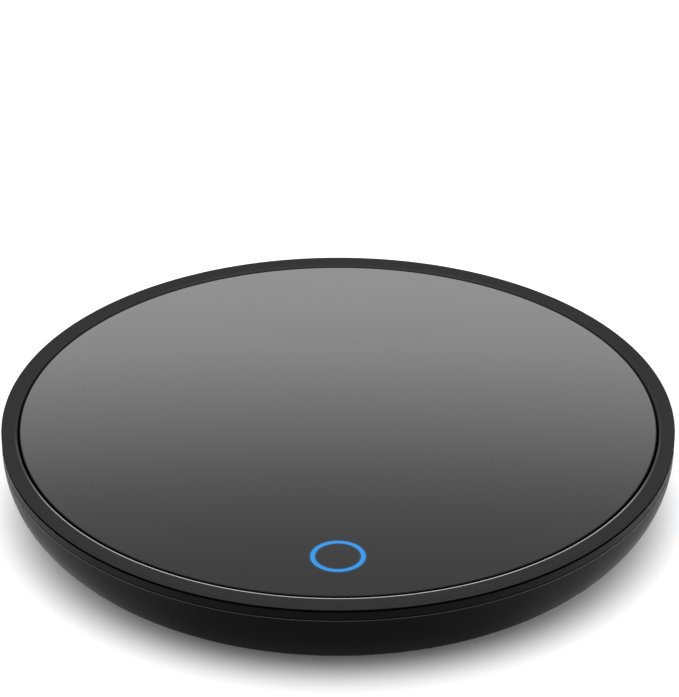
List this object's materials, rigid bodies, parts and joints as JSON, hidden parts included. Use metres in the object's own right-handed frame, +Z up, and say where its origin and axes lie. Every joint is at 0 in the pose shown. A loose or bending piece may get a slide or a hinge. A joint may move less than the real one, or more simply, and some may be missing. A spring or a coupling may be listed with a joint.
{
  "type": "electric mug warmer",
  "caption": "Round low mug warmer: black glass heating plate floating in a slim bezel over a quarter-round base, with a ring-shaped touch key at the front and a low-voltage inlet at the rear.",
  "frame": {"origin": "centre of the object's footprint, on the table that the feet stand on", "axes": "+Z up out of the glass; -Y to the front, where the touch key is; +Y to the rear, where the power inlet is"},
  "size_m": [0.13, 0.13, 0.0192],
  "materials": {
    "black_plastic": "fine satin moulded ABS",
    "bezel_plastic": "satin moulded ABS",
    "silicone_black": "matt silicone",
    "plate_grey": "brushed foil",
    "screw_steel": "zinc plated",
    "black_glass": "polished tempered glass with a black back print",
    "print_black": "screen print",
    "silicone_grey": "silicone adhesive",
    "aluminium": "rolled sheet",
    "polyimide": "amber film",
    "foil": "etched alloy foil",
    "insulation": "pressed ceramic fibre",
    "carrier_plastic": "glass filled moulding",
    "light_guide": "clear acrylic",
    "sensor_green": "coated bead",
    "cutoff_cream": "ceramic body",
    "spring_steel": "spring wire",
    "spring_gold": "gold plated wire",
    "board_green": "solder mask",
    "chip_black": "epoxy moulding",
    "capacitor_tan": "moulded tantalum",
    "chip_tan": "ceramic chips",
    "led_white": "clear epoxy",
    "nylon_white": "natural nylon",
    "wire_white": "silicone insulation",
    "wire_red": "silicone insulation",
    "wire_yellow": "silicone insulation",
    "switch_red": "phenolic moulding",
    "plunger_cream": "acetal",
    "contact_metal": "nickel plated",
    "terminal_brass": "tinned brass"
  },
  "bodies": {
    "base": {"base_shell": "black_plastic", "top_housing": "black_plastic", "bezel_ring": "bezel_plastic", "bumper_ring": "silicone_black", "foot_front_right": "silicone_black", "foot_front_left": "silicone_black", "foot_rear_left": "silicone_black", "foot_rear_right": "silicone_black", "rating_plate": "plate_grey", "housing_screws": "screw_steel", "deck_spring_front_right": "spring_steel", "deck_spring_front_left": "spring_steel", "deck_spring_rear_left": "spring_steel", "deck_spring_rear_right": "spring_steel", "touch_spring": "spring_gold", "control_board": "board_green", "board_screws": "screw_steel", "microcontroller": "chip_black", "power_transistor": "chip_black", "power_inductor": "chip_black", "input_capacitor": "capacitor_tan", "chip_parts": "chip_tan", "key_leds": "led_white", "sensor_header": "nylon_white", "heater_header": "nylon_white", "power_header": "nylon_white", "sensor_plug": "nylon_white", "heater_plug": "nylon_white", "power_plug": "nylon_white", "sensor_leads": "wire_white", "heater_leads": "wire_red", "power_leads": "wire_red", "switch_leads": "wire_yellow", "switch_body": "switch_red", "switch_terminals": "terminal_brass", "switch_screws": "screw_steel", "jack_body": "chip_black", "jack_pin": "terminal_brass", "jack_contact": "contact_metal"},
    "heating_deck": {"glass_plate": "black_glass", "back_print": "print_black", "bond_ring": "silicone_grey", "heat_spreader": "aluminium", "heater_front_film": "polyimide", "heater_track": "foil", "heater_back_film": "polyimide", "insulation_pad": "insulation", "deck_carrier": "carrier_plastic", "light_guide": "light_guide", "thermistor": "sensor_green", "thermal_cutoff": "cutoff_cream"},
    "weight_switch_lever": {"switch_lever": "contact_metal", "lever_pin": "contact_metal"},
    "weight_switch_plunger": {"switch_plunger": "plunger_cream"}
  },
  "joints": [
    {"name": "deck_float", "type": "slide", "parent": "base", "child": "heating_deck", "axis": [0, 0, -1], "range_m": [0, 0.0008], "stiffness_N_per_m": 1500, "springref_m": -0.002, "deforming": ["deck_spring_front_right", "deck_spring_front_left", "deck_spring_rear_left", "deck_spring_rear_right", "touch_spring", "heater_leads", "sensor_leads"]},
    {"name": "lever_pivot", "type": "hinge", "parent": "base", "child": "weight_switch_lever", "pos_m": [-0.012, 0, 0.00963], "axis": [0, 1, 0], "range_deg": [0, 3.83]},
    {"name": "plunger_slide", "type": "slide", "parent": "base", "child": "weight_switch_plunger", "axis": [0, 0, -1], "range_m": [0, 0.000268]}
  ],
  "couplings": [
    {"joint": "lever_pivot", "follows": "deck_float", "rad_per_m": 83.333},
    {"joint": "plunger_slide", "follows": "deck_float", "ratio": 0.33333}
  ]
}
